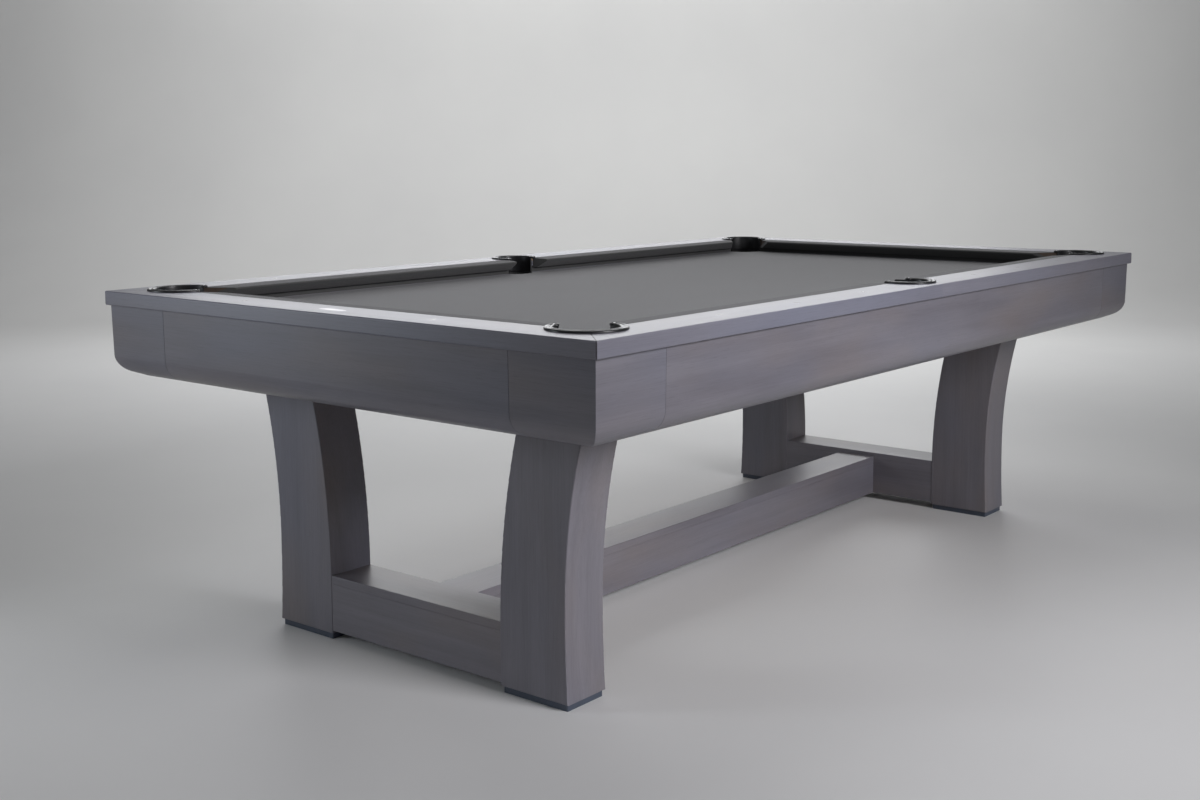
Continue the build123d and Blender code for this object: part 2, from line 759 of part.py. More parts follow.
def plate_shape(gap, depth):
    """The blank oval plate in the middle of the left end rail."""
    with BuildPart() as oval:
        with BuildSketch(Plane.XY.offset(table_height)):
            with Locations((-end_sight_x, 0)):
                Ellipse(plate_width / 2 + gap, plate_length / 2 + gap)
        extrude(amount=-depth)
    return oval.part


with BuildPart() as rail_ring:
    with BuildSketch(Plane.XY.offset(rail_edge_z)):
        RectangleRounded(table_length, table_width, rail_corner_round)
    extrude(amount=rail_edge_height)
    fillet(rail_ring.edges().filter_by(Axis.Z, reverse=True), rail_edge_round)
    with BuildSketch(Plane.XY.offset(bed_z)):
        Rectangle(table_length - 2 * sub_rail_setback, table_width - 2 * sub_rail_setback)
    extrude(amount=rail_edge_z - bed_z)
    with BuildSketch(Plane.XY.offset(bed_z)):
        Rectangle(table_length - 2 * rail_wood_reach, table_width - 2 * rail_wood_reach)
    extrude(amount=rail_rise, mode=Mode.SUBTRACT)
    with BuildSketch(Plane.XY.offset(rebate_z)):
        Rectangle(2 * corner_x, table_width - 2 * rebate_setback)
        Rectangle(table_length - 2 * rebate_setback, 2 * corner_y)
    extrude(amount=strip_depth, mode=Mode.SUBTRACT)
    add(pocket_cut, mode=Mode.SUBTRACT)
    add(inlays(inlay_gap, inlay_depth), mode=Mode.SUBTRACT)
    add(plate_shape(inlay_gap, inlay_depth), mode=Mode.SUBTRACT)
    with Locations(*[Location((x, y, bed_z), (180, 0, 0)) for x, y in rail_bolt_places]):
        Hole(bolt_r + fastener_gap, depth=bolt_grip + fastener_gap)
    add(all_bracket_holes.part, mode=Mode.SUBTRACT)
    with BuildSketch(Plane.XY.offset(table_height)):
        for sx, sy in CORNERS.values():
            groove_place = Location((sx * half_length, sy * half_width, 0), 45 * sx * sy)
            with Locations(groove_place):
                Rectangle(2 * past_edge, mitre_groove)
    extrude(amount=-mitre_groove, mode=Mode.SUBTRACT)

edge_x = half_length + overshoot
edge_y = half_width + overshoot
mitre_run = rail_reach + 2 * corner_pocket_r
end_rail_outline = [
    (-edge_x, -edge_y),
    (-edge_x, edge_y),
    (-edge_x + mitre_run, edge_y - mitre_run),
    (-edge_x + mitre_run, -edge_y + mitre_run),
]
side_rail_outline = [
    (-edge_x, -edge_y),
    (0, -edge_y),
    (0, -edge_y + mitre_run),
    (-edge_x + mitre_run, -edge_y + mitre_run),
]
RAILS = {"rail_end_left": (end_rail_outline, -1, 1), "rail_end_right": (end_rail_outline, 1, 1)}
for corner_name, (sx, sy) in CORNERS.items():
    RAILS[f"rail_{corner_name}"] = (side_rail_outline, sx, sy)

for rail_name, (outline, sx, sy) in RAILS.items():
    placed = [(x * -sx, y * -sy) for x, y in outline]
    with BuildPart() as rail:
        add(rail_ring.part)
        add(slab(placed, bed_z - overshoot, table_height + overshoot), mode=Mode.INTERSECT)
    save(rail.part, rail_name)

with BuildPart() as sights:
    add(inlays(0, inlay_depth))
save(sights.part, "sights")

with BuildPart() as name_plate:
    add(plate_shape(0, inlay_depth))
save(name_plate.part, "name_plate")

with BuildPart() as rail_bolts:
    with Locations(*[(x, y, backing_bottom_z - bolt_washer_height) for x, y in rail_bolt_places]):
        bolt_length = bolt_washer_height + bed_z - backing_bottom_z + bolt_grip
        add(hex_bolt(bolt_r, bolt_head_r, bolt_head_height, bolt_length))
    with BuildSketch(Plane.XY.offset(backing_bottom_z - bolt_washer_height)):
        with Locations(*rail_bolt_places):
            Circle(bolt_washer_r)
    extrude(amount=bolt_washer_height)
save(rail_bolts.part, "rail_bolts")

# ================================================================ cushions and their cloth
nose_reach = rail_reach - cloth
nose_z = bed_z + nose_height
corner_tip = play_length / 2 - corner_mouth / sqrt(2)
end_corner_tip = play_width / 2 - corner_mouth / sqrt(2)
corner_turn = radians(180 - corner_facing)
side_turn = radians(180 - side_facing)
cushion_outline = [
    (rail_wood_reach, table_height - cloth - cushion_sink),
    (nose_reach - nose_flat, table_height - cloth - nose_drop),
    (nose_reach, nose_z),
    (nose_reach - nose_flat / 2, nose_z - nose_flat),
    (rail_wood_reach + cushion_foot, bed_z + cushion_heel),
    (rail_wood_reach, bed_z + cushion_heel),
]


def corner_cut(tip, reach, trim):
    """Distance from the table's middle to the corner facing, at a given reach."""
    return tip + (rail_reach - reach) / tan(corner_turn) - trim / sin(corner_turn)


def side_cut(reach, trim):
    """Distance from the table's middle to the side-pocket facing."""
    return side_mouth / 2 - (rail_reach - reach) / tan(side_turn) + trim / sin(side_turn)


def side_plan(trim):
    """Plan outline of the front-left cushion, its ends trimmed back."""
    outer = rebate_setback
    inner = rail_reach + overshoot
    return [
        (-corner_cut(corner_tip, outer, trim), -half_width + outer),
        (-side_cut(outer, trim), -half_width + outer),
        (-side_cut(inner, trim), -half_width + inner),
        (-corner_cut(corner_tip, inner, trim), -half_width + inner),
    ]


def end_plan(trim):
    """Plan outline of the left end cushion, its ends trimmed back."""
    outer = rebate_setback
    inner = rail_reach + overshoot
    return [
        (-half_length + outer, -corner_cut(end_corner_tip, outer, trim)),
        (-half_length + outer, corner_cut(end_corner_tip, outer, trim)),
        (-half_length + inner, corner_cut(end_corner_tip, inner, trim)),
        (-half_length + inner, -corner_cut(end_corner_tip, inner, trim)),
    ]


def cushion_shape(along_side_rail, skin):
    """A cushion in its section plane, or the cloth's outer face when skin is set."""
    plane = Plane.YZ if along_side_rail else Plane.XZ
    edge = half_width if along_side_rail else half_length
    run = half_length if along_side_rail else half_width
    plan = side_plan if along_side_rail else end_plan
    trim = 0 if skin else cloth
    with BuildPart() as shape:
        with BuildSketch(plane):
            with BuildLine():
                Polyline(*[(reach - edge, z) for reach, z in cushion_outline], close=True)
            make_face()
            if skin:
                offset(amount=cloth, kind=Kind.INTERSECTION)
                cover_back = rail_wood_reach - edge
                cut_width = strip_width + 2 * cloth
                with Locations((cover_back - cut_width / 2, bed_z)):
                    Rectangle(cut_width, 2 * rail_rise, mode=Mode.SUBTRACT)
                with Locations((cover_back, table_height)):
                    Rectangle(strip_width, cloth, align=(Align.MAX, Align.MAX))
        extrude(amount=run, both=True)
        add(slab(plan(trim), bed_z, table_height + overshoot), mode=Mode.INTERSECT)
        add(pocket_cut, mode=Mode.SUBTRACT)
    return shape.part


side_cushion = cushion_shape(True, False)
end_cushion = cushion_shape(False, False)

with BuildPart() as side_cloth:
    add(cushion_shape(True, True))
    add(side_cushion, mode=Mode.SUBTRACT)

with BuildPart() as end_cloth:
    add(cushion_shape(False, True))
    add(end_cushion, mode=Mode.SUBTRACT)

with BuildPart() as side_strip:
    with BuildSketch(Plane.XY.offset(rebate_z)):
        middle_y = -half_width + rail_wood_reach - strip_width / 2
        with Locations((-corner_x / 2, middle_y)):
            Rectangle(corner_x, strip_width - 2 * strip_gap)
    extrude(amount=strip_depth - cloth)
    add(pocket_cut, mode=Mode.SUBTRACT)

with BuildPart() as end_strip:
    with BuildSketch(Plane.XY.offset(rebate_z)):
        middle_x = -half_length + rail_wood_reach - strip_width / 2
        with Locations((middle_x, 0)):
            Rectangle(strip_width - 2 * strip_gap, 2 * corner_y)
    extrude(amount=strip_depth - cloth)
    add(pocket_cut, mode=Mode.SUBTRACT)

with BuildPart() as cushions:
    for sx, sy in CORNERS.values():
        add(mirrored(side_cushion, sx, sy))
    for sx in (-1, 1):
        add(mirrored(end_cushion, sx, -1))
save(cushions.part, "cushions")

with BuildPart() as cushion_cloths:
    for sx, sy in CORNERS.values():
        add(mirrored(side_cloth.part, sx, sy))
    for sx in (-1, 1):
        add(mirrored(end_cloth.part, sx, -1))
save(cushion_cloths.part, "cushion_cloths")

with BuildPart() as feather_strips:
    for sx, sy in CORNERS.values():
        add(mirrored(side_strip.part, sx, sy))
    for sx in (-1, 1):
        add(mirrored(end_strip.part, sx, -1))
save(feather_strips.part, "feather_strips")

# ================================================================ pockets
skirt_bottom = bed_z + skirt_floor_gap
bucket_top = slate_top_z - bucket_below_bed
bucket_bottom = bucket_top - bucket_depth

for pocket_name, (x, y, radius, outward, half_angle) in POCKETS.items():
    inwards = outward + 180
    flange_r = radius + skirt_wall + collar_flange
    far = flange_r / cos(radians(half_angle)) + overshoot
    mouth = [(x, y)]
    for turn in (-half_angle, half_angle):
        step_x, step_y = direction(inwards + turn)
        mouth.append((x + far * step_x, y + far * step_y))
    open_side = slab(mouth, skirt_bottom - overshoot, table_height + collar_thickness + overshoot)
    with BuildPart() as collar:
        with BuildSketch(Plane.XY.offset(table_height)):
            with Locations((x, y)):
                Circle(flange_r)
                Circle(radius, mode=Mode.SUBTRACT)
        extrude(amount=collar_thickness)
        with BuildSketch(Plane.XY.offset(skirt_bottom)):
            with Locations((x, y)):
                Circle(radius + skirt_wall)
                Circle(radius, mode=Mode.SUBTRACT)
        extrude(amount=table_height - skirt_bottom)
        add(open_side, mode=Mode.SUBTRACT)
        with BuildSketch(Plane.XY.offset(table_height)):
            for turn in (-half_angle, half_angle):
                step_x, step_y = direction(inwards + turn)
                ear_reach = flange_r - collar_ear_r
                with Locations((x + ear_reach * step_x, y + ear_reach * step_y)):
                    Circle(collar_ear_r)
        extrude(amount=collar_thickness)
        fillet(collar.edges().group_by(Axis.Z)[-1], collar_round)
    save(collar.part, f"pocket_collar_{pocket_name}")

with BuildPart() as pocket_buckets:
    for pocket_name, (x, y, radius, _, _) in POCKETS.items():
        with BuildSketch(Plane.XY.offset(bucket_bottom)):
            with Locations((x, y)):
                Circle(radius)
        extrude(amount=bucket_depth)
        tab_z = backing_bottom_z - tab_thickness
        for angle in TAB_ANGLES[pocket_name]:
            step_x, step_y = direction(angle)
            reach = radius + tab_length / 2
            hole_reach = radius + tab_hole_reach
            hole = (x + hole_reach * step_x, y + hole_reach * step_y)
            with BuildSketch(Plane.XY.offset(tab_z)):
                with Locations(Location((x + reach * step_x, y + reach * step_y, 0), angle)):
                    Rectangle(tab_length + 2 * bucket_wall, tab_width)
                with Locations(hole):
                    Circle(wood_screw_r + fastener_gap, mode=Mode.SUBTRACT)
            extrude(amount=tab_thickness)
        with BuildSketch(Plane.XY.offset(bucket_bottom + bucket_floor)):
            with Locations((x, y)):
                Circle(radius - bucket_wall)
        extrude(amount=bucket_depth, mode=Mode.SUBTRACT)
save(pocket_buckets.part, "pocket_buckets")

# ================================================================ cabinet
round_start_z = rail_edge_z - apron_straight
round_turn = radians(apron_round_turn)
round_end = (
    apron_setback + apron_lean + apron_round * (1 - cos(round_turn)),
    round_start_z - apron_round * sin(round_turn),
)
apron_bottom_z = round_end[1] - (apron_tuck - round_end[0]) / tan(round_turn)


def apron_prism(plane, edge, run, both):
    """The apron's section on a plane, edge from the middle, drawn out by run."""
    with BuildPart() as prism:
        with BuildSketch(plane):
            with BuildLine():
                outer_top = (apron_setback - edge, rail_edge_z)
                outer_low = (apron_setback + apron_lean - edge, round_start_z)
                turned = (round_end[0] - edge, round_end[1])
                Line(outer_top, outer_low)
                TangentArc(outer_low, turned, tangent=(0, -1))
                Polyline(
                    turned,
                    (apron_tuck - edge, apron_bottom_z),
                    (apron_tuck - edge, apron_bottom_z + apron_lip),
                    (apron_inner - edge, round_start_z - apron_lip),
                    (apron_inner - edge, rail_edge_z),
                    outer_top,
                )
            make_face()
        extrude(amount=run, both=both)
        ends = prism.faces().filter_by(Axis(plane.origin, plane.z_dir))
        chamfer(ends.edges(), seam_chamfer)
    return prism.part


side_apron = apron_prism(Plane.YZ, half_width, apron_half_x, True)
end_apron = apron_prism(Plane.XZ, half_length, apron_half_y, True)

mitre = Plane(origin=(-half_length, -half_width, 0), z_dir=(1, -1, 0))
with BuildPart() as corner_block:
    add(apron_prism(Plane.YZ.offset(-half_length), half_width, corner_block_arm, False))
    split(bisect_by=mitre, keep=Keep.TOP)
    mirror(about=mitre)
    upright_edges = corner_block.edges().filter_by_position(Axis.Z, round_start_z, rail_edge_z)
    fillet(upright_edges.sort_by(Axis.X)[0], mitre_round)

for side_name, sx, sy in (("front", -1, -1), ("back", -1, 1)):
    with BuildPart() as apron:
        add(mirrored(side_apron, sx, sy))
        add(all_bracket_holes.part, mode=Mode.SUBTRACT)
    save(apron.part, f"apron_{side_name}")

for side_name, sx, sy in (("left", -1, -1), ("right", 1, -1)):
    with BuildPart() as apron:
        add(mirrored(end_apron, sx, sy))
        add(all_bracket_holes.part, mode=Mode.SUBTRACT)
    save(apron.part, f"apron_{side_name}")

for corner_name, (sx, sy) in CORNERS.items():
    with BuildPart() as block:
        add(mirrored(corner_block.part, sx, sy))
        add(all_bracket_holes.part, mode=Mode.SUBTRACT)
    save(block.part, f"corner_block_{corner_name}")
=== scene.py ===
"""Pool table: materials, cloth, small hardware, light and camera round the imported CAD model."""
import math

import bmesh
import bpy
from mathutils import Euler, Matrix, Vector


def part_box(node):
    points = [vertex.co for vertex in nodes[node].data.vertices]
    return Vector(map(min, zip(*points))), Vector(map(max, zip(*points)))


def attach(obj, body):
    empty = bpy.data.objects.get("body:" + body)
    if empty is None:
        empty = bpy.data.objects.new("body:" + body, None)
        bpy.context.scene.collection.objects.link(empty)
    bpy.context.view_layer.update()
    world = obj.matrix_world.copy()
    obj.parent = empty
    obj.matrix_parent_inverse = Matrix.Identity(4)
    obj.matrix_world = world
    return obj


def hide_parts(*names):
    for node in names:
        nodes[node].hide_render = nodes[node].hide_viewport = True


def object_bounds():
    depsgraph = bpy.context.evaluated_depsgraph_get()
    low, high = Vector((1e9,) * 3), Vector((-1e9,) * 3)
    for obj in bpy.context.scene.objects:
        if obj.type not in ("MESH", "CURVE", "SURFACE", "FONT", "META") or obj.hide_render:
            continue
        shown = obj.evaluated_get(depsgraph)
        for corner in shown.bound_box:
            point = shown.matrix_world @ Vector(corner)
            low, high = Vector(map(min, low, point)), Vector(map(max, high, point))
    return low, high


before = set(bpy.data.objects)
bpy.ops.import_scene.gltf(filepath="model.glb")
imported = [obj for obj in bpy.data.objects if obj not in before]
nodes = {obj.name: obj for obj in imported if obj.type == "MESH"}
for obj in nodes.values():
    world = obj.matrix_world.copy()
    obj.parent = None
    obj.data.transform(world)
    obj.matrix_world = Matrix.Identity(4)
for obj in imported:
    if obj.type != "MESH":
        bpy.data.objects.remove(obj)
cad_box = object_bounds()

# ------------------------------------------------------------------ places, from the frame
HALF_LENGTH = cad_box[1].x
HALF_WIDTH = cad_box[1].y
RAIL_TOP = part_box("rail_end_left")[1].z
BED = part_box("bed_cloth")[1].z
CORNERS = {"front_left": (-1, -1), "front_right": (1, -1), "back_left": (-1, 1), "back_right": (1, 1)}


# ------------------------------------------------------------------ node helpers
class Graph:
    """A material's node tree with short calls for making and joining nodes."""

    SOCKETS = {
        "color": "Base Color", "metal": "Metallic", "rough": "Roughness", "spec": "Specular IOR Level",
        "coat": "Coat Weight", "coat_rough": "Coat Roughness", "sheen": "Sheen Weight",
        "sheen_rough": "Sheen Roughness", "sheen_tint": "Sheen Tint", "aniso": "Anisotropic",
    }

    def __init__(self, name):
        self.material = bpy.data.materials.new(name)
        self.material.use_nodes = True
        self.tree = self.material.node_tree
        self.shader = self.tree.nodes["Principled BSDF"]

    def node(self, kind, **settings):
        made = self.tree.nodes.new(kind)
        for key, value in settings.items():
            setattr(made, key, value)
        return made

    def join(self, source, target):
        self.tree.links.new(source, target)

    def set(self, **values):
        """Constant values on the shader's own sockets."""
        for key, value in values.items():
            self.shader.inputs[self.SOCKETS[key]].default_value = value

    def feed(self, **sources):
        """Other nodes' outputs joined to the shader's sockets."""
        for key, source in sources.items():
            self.join(source, self.shader.inputs[self.SOCKETS[key]])

    def place(self):
        return self.node("ShaderNodeTexCoord").outputs["Object"]

    def math(self, operation, a, b=None):
        made = self.node("ShaderNodeMath", operation=operation)
        for socket, value in zip(made.inputs, (a, b)):
            if value is None:
                continue
            if isinstance(value, (int, float)):
                socket.default_value = value
            else:
                self.join(value, socket)
        return made.outputs[0]

    def scaled(self, vector, scale, offset=(0, 0, 0)):
        made = self.node("ShaderNodeMapping")
        made.inputs["Scale"].default_value = scale
        made.inputs["Location"].default_value = offset
        self.join(vector, made.inputs["Vector"])
        return made.outputs["Vector"]

    def noise(self, vector, scale, detail=4.0, rough=0.55, warp=0.0):
        made = self.node("ShaderNodeTexNoise")
        made.inputs["Scale"].default_value = scale
        made.inputs["Detail"].default_value = detail
        made.inputs["Roughness"].default_value = rough
        made.inputs["Distortion"].default_value = warp
        self.join(vector, made.inputs["Vector"])
        return made.outputs["Fac"]

    def ramp(self, value, stops):
        made = self.node("ShaderNodeValToRGB")
        ramp = made.color_ramp
        ramp.elements[0].position, ramp.elements[0].color = stops[0][0], (*stops[0][1], 1)
        ramp.elements[1].position, ramp.elements[1].color = stops[-1][0], (*stops[-1][1], 1)
        for position, color in stops[1:-1]:
            ramp.elements.new(position).color = (*color, 1)
        self.join(value, made.inputs["Fac"])
        return made.outputs["Color"]

    def grey(self, value, low, high, out_low=0.0, out_high=1.0):
        made = self.node("ShaderNodeMapRange")
        for index, number in zip((1, 2, 3, 4), (low, high, out_low, out_high)):
            made.inputs[index].default_value = number
        self.join(value, made.inputs[0])
        return made.outputs[0]

    def mix(self, fac, a, b, blend="MIX"):
        made = self.node("ShaderNodeMix", data_type="RGBA", blend_type=blend)
        for socket, value in zip((made.inputs["Factor"], made.inputs[6], made.inputs[7]), (fac, a, b)):
            if isinstance(value, (int, float)):
                socket.default_value = value
            elif isinstance(value, tuple):
                socket.default_value = (*value, 1)
            else:
                self.join(value, socket)
        return made.outputs[2]

    def bump(self, height, distance, strength=1.0):
        made = self.node("ShaderNodeBump")
        made.inputs["Distance"].default_value = distance
        made.inputs["Strength"].default_value = strength
        self.join(height, made.inputs["Height"])
        self.join(made.outputs["Normal"], self.shader.inputs["Normal"])

    def parts(self, vector):
        made = self.node("ShaderNodeSeparateXYZ")
        self.join(vector, made.inputs[0])
        return made.outputs

    def vector(self, x, y, z):
        made = self.node("ShaderNodeCombineXYZ")
        for socket, value in zip(made.inputs, (x, y, z)):
            self.join(value, socket)
        return made.outputs[0]


# ------------------------------------------------------------------ materials
WOOD_DARK = (0.140, 0.131, 0.150)
WOOD_MID = (0.172, 0.163, 0.186)
WOOD_LIGHT = (0.205, 0.196, 0.220)
WOOD_WARM = (0.200, 0.172, 0.168)
WOOD_COOL = (0.160, 0.166, 0.212)
WOOD_PORE = (0.06, 0.055, 0.065)
# painted shade of the narrow groove on the rails' mitre line
MITRE_GROOVE_SHADE = (0.022, 0.021, 0.025)
MITRE_SHIFT = 0.37                  # keeps the figure of two boards apart where they meet


def to_edges(g, x, y):
    """How far a point lies in from the table's long side, and in from its end."""
    to_side = g.math("SUBTRACT", HALF_WIDTH, g.math("ABSOLUTE", y))
    to_end = g.math("SUBTRACT", HALF_LENGTH, g.math("ABSOLUTE", x))
    return to_side, to_end


def grain_axes(along, x, y, z):
    """The coordinate along the grain, then the two across it."""
    return {"X": (x, y, z), "Y": (y, x, z), "Z": (z, x, y)}[along]


def wood(name, along, seed, tone=1.0, blue=0.5, mitred=False):
    """Grey-stained, satin-lacquered maple. along is the grain's direction: X, Y, Z or MITRE."""
    g = Graph(name)
    x, y, z = g.parts(g.place())
    if along == "MITRE":
        # long-side pieces run along X and end pieces along Y, with the change on the mitre line
        to_side, to_end = to_edges(g, x, y)
        on_side = g.math("LESS_THAN", to_side, to_end)
        on_end = g.math("SUBTRACT", 1.0, on_side)
        run = g.math("ADD", g.math("MULTIPLY", x, on_side), g.math("MULTIPLY", y, on_end))
        cross = g.math("ADD", g.math("MULTIPLY", y, on_side), g.math("MULTIPLY", x, on_end))
        cross = g.math("ADD", cross, g.math("MULTIPLY", on_side, MITRE_SHIFT))
        rise = z
    else:
        run, cross, rise = grain_axes(along, x, y, z)
    # the seed moves each board to its own place in the pattern
    base = g.scaled(g.vector(run, cross, rise), (1, 1, 1), (seed * 3.17, seed * 1.31, seed * 2.23))
    streaks = g.noise(g.scaled(base, (1.1, 26, 26)), 1.0, 5.0, 0.62, 0.35)
    fibres = g.noise(g.scaled(base, (9, 420, 420)), 1.0, 3.0, 0.6)
    figure = g.noise(g.scaled(base, (1.6, 5.5, 5.5)), 1.0, 3.0, 0.5, 0.8)
    pores = g.noise(g.scaled(base, (28, 900, 900)), 1.0, 1.0, 0.5)
    level = g.math("ADD", g.math("MULTIPLY", streaks, 0.55), g.math("MULTIPLY", figure, 0.45))
    color = g.ramp(level, [(0.36, WOOD_DARK), (0.5, WOOD_MID), (0.66, WOOD_LIGHT)])
    warm_patches = g.noise(g.scaled(base, (2.0, 6.0, 6.0), (7, 3, 5)), 1.0, 2.0, 0.5)
    color = g.mix(g.grey(warm_patches, 0.47, 0.68, 0.0, 0.62), color, WOOD_WARM)
    cool_patches = g.noise(g.scaled(base, (1.3, 3.1, 3.1), (1, 9, 2)), 1.0, 2.0, 0.5)
    color = g.mix(g.grey(cool_patches, 0.46, 0.66, blue - 0.5, blue), color, WOOD_COOL)
    fine = g.grey(fibres, 0.3, 0.7, 0.94 * tone, 1.05 * tone)
    color = g.mix(1.0, color, g.vector(fine, fine, fine), "MULTIPLY")
    open_pores = g.grey(pores, 0.30, 0.38, 0.18, 0.0)
    color = g.mix(open_pores, color, WOOD_PORE)
    if mitred:
        # painted shade: the colour is darkened along the narrow groove on the mitre line
        away = g.math("ABSOLUTE", g.math("SUBTRACT", *to_edges(g, x, y)))
        color = g.mix(g.grey(away, 0.0012, 0.0022, 0.95, 0.0), color, MITRE_GROOVE_SHADE)
    g.feed(color=color)
    g.feed(rough=g.grey(streaks, 0.3, 0.7, 0.43, 0.49))
    g.set(spec=0.42, coat=0.22, coat_rough=0.28)
    height = g.math("ADD", g.math("MULTIPLY", fibres, 0.6), g.math("MULTIPLY", streaks, 0.4))
    g.bump(g.math("SUBTRACT", height, g.math("MULTIPLY", open_pores, 0.9)), 0.00022, 0.55)
    return g.material


def plain_wood(name, along):
    """Unfinished softwood on the hidden framework."""
    g = Graph(name)
    x, y, z = g.parts(g.place())
    base = g.vector(*grain_axes(along, x, y, z))
    rings = g.noise(g.scaled(base, (1.2, 34, 34)), 1.0, 4.0, 0.6, 0.5)
    fibres = g.noise(g.scaled(base, (12, 500, 500)), 1.0, 2.0, 0.6)
    color = g.ramp(rings, [(0.34, (0.36, 0.22, 0.11)), (0.5, (0.55, 0.38, 0.21)), (0.68, (0.66, 0.49, 0.30))])
    fine = g.grey(fibres, 0.3, 0.7, 0.85, 1.1)
    g.feed(color=g.mix(1.0, color, g.vector(fine, fine, fine), "MULTIPLY"))
    g.feed(rough=g.grey(rings, 0.3, 0.7, 0.62, 0.78))
    g.bump(fibres, 0.0003, 0.6)
    return g.material


def felt(name, color, seed):
    """Worsted cloth: a fine twill, loose fibres and a soft, slightly patchy nap."""
    g = Graph(name)
    place = g.scaled(g.place(), (1, 1, 1), (seed, seed * 2, seed * 3))
    x, y, z = g.parts(place)
    warp = g.math("SINE", g.math("MULTIPLY", g.math("ADD", g.math("ADD", x, y), z), 5200.0))
    weft = g.math("SINE", g.math("MULTIPLY", g.math("SUBTRACT", g.math("ADD", x, z), y), 5200.0))
    weave = g.math("MULTIPLY", g.math("ADD", warp, weft), 0.25)
    fuzz = g.noise(place, 900.0, 3.0, 0.7)
    nap = g.noise(g.scaled(place, (5, 9, 9)), 1.0, 3.0, 0.5)
    low = tuple(c * 0.86 for c in color)
    high = tuple(c * 1.12 for c in color)
    mixed = g.math("ADD", g.math("MULTIPLY", fuzz, 0.85), g.math("MULTIPLY", nap, 0.15))
    shaded = g.ramp(mixed, [(0.32, low), (0.5, color), (0.68, high)])
    lift = g.grey(weave, -0.5, 0.5, 0.94, 1.06)
    g.feed(color=g.mix(1.0, shaded, g.vector(lift, lift, lift), "MULTIPLY"))
    g.set(rough=0.92, spec=0.22, sheen=0.18, sheen_rough=0.5, sheen_tint=(0.80, 0.80, 0.82, 1.0))
    g.bump(g.math("ADD", g.math("MULTIPLY", weave, 0.35), fuzz), 0.0004, 0.5)
    return g.material


def gloss_black(name):
    """Moulded black plastic, with faint swirls and a little dust in the gloss."""
    g = Graph(name)
    place = g.place()
    marks = g.noise(g.scaled(place, (90, 90, 30)), 1.0, 4.0, 0.6)
    g.feed(color=g.ramp(marks, [(0.3, (0.010, 0.010, 0.011)), (0.7, (0.021, 0.021, 0.023))]))
    g.feed(rough=g.grey(marks, 0.35, 0.7, 0.30, 0.42))
    g.set(spec=0.4, coat=0.12, coat_rough=0.2)
    g.bump(g.noise(place, 420.0, 2.0), 0.00012, 0.25)
    return g.material


def matte_black(name):
    """Moulded rubbery plastic inside the pockets, with a fine leather-like texture."""
    g = Graph(name)
    place = g.place()
    cells = g.node("ShaderNodeTexVoronoi", feature="F1")
    cells.inputs["Scale"].default_value = 520.0
    g.join(place, cells.inputs["Vector"])
    patch = g.noise(place, 30.0, 3.0)
    g.feed(color=g.ramp(patch, [(0.3, (0.012, 0.012, 0.013)), (0.7, (0.024, 0.024, 0.026))]))
    g.feed(rough=g.grey(patch, 0.3, 0.7, 0.5, 0.66))
    g.set(spec=0.4)
    g.bump(cells.outputs["Distance"], 0.0003, 0.6)
    return g.material


def powder_coat(name, color, rough):
    """Painted steel with the slight orange peel of a powder coat."""
    g = Graph(name)
    place = g.place()
    peel = g.noise(place, 260.0, 2.0)
    patch = g.noise(place, 14.0, 4.0)
    low = tuple(c * 0.82 for c in color)
    high = tuple(c * 1.15 for c in color)
    g.feed(color=g.ramp(patch, [(0.3, low), (0.7, high)]))
    g.feed(rough=g.grey(patch, 0.3, 0.7, rough - 0.05, rough + 0.08))
    g.set(spec=0.5)
    g.bump(peel, 0.0002, 0.4)
    return g.material


def steel(name, color, rough):
    """Plated steel with turning and handling marks."""
    g = Graph(name)
    place = g.place()
    marks = g.noise(g.scaled(place, (60, 60, 420)), 1.0, 4.0, 0.65)
    low = tuple(c * 0.78 for c in color)
    g.feed(color=g.ramp(marks, [(0.3, low), (0.7, color)]))
    g.feed(rough=g.grey(marks, 0.3, 0.7, rough - 0.08, rough + 0.1))
    g.set(metal=1.0)
    g.bump(marks, 0.0001, 0.3)
    return g.material


def slate_stone(name, seed):
    """Honed slate."""
    g = Graph(name)
    place = g.scaled(g.place(), (1, 1, 1), (seed, 0, seed))
    beds = g.noise(g.scaled(place, (3, 3, 60)), 1.0, 6.0, 0.6, 0.4)
    specks = g.noise(place, 300.0, 3.0, 0.7)
    mixed = g.math("ADD", g.math("MULTIPLY", beds, 0.6), g.math("MULTIPLY", specks, 0.4))
    stops = [(0.35, (0.045, 0.050, 0.056)), (0.5, (0.075, 0.082, 0.090)), (0.66, (0.115, 0.122, 0.130))]
    g.feed(color=g.ramp(mixed, stops))
    g.feed(rough=g.grey(beds, 0.3, 0.7, 0.55, 0.72))
    g.bump(specks, 0.0004, 0.5)
    return g.material


def gum_rubber(name):
    """Moulded rubber under the cushion cloth."""
    g = Graph(name)
    patch = g.noise(g.place(), 40.0, 4.0)
    g.feed(color=g.ramp(patch, [(0.3, (0.045, 0.030, 0.022)), (0.7, (0.085, 0.058, 0.042))]))
    g.feed(rough=g.grey(patch, 0.3, 0.7, 0.62, 0.8))
    g.bump(patch, 0.0003, 0.4)
    return g.material


def pearl(name):
    """Mother-of-pearl look: pale, with soft cloudy bands and a polished coat."""
    g = Graph(name)
    bands = g.noise(g.scaled(g.place(), (160, 90, 60)), 1.0, 3.0, 0.5, 1.5)
    stops = [(0.3, (0.52, 0.56, 0.58)), (0.5, (0.74, 0.73, 0.70)), (0.7, (0.86, 0.84, 0.82))]
    g.feed(color=g.ramp(bands, stops))
    g.feed(rough=g.grey(bands, 0.3, 0.7, 0.18, 0.30))
    g.set(spec=0.6, coat=0.6, coat_rough=0.08)
    return g.material


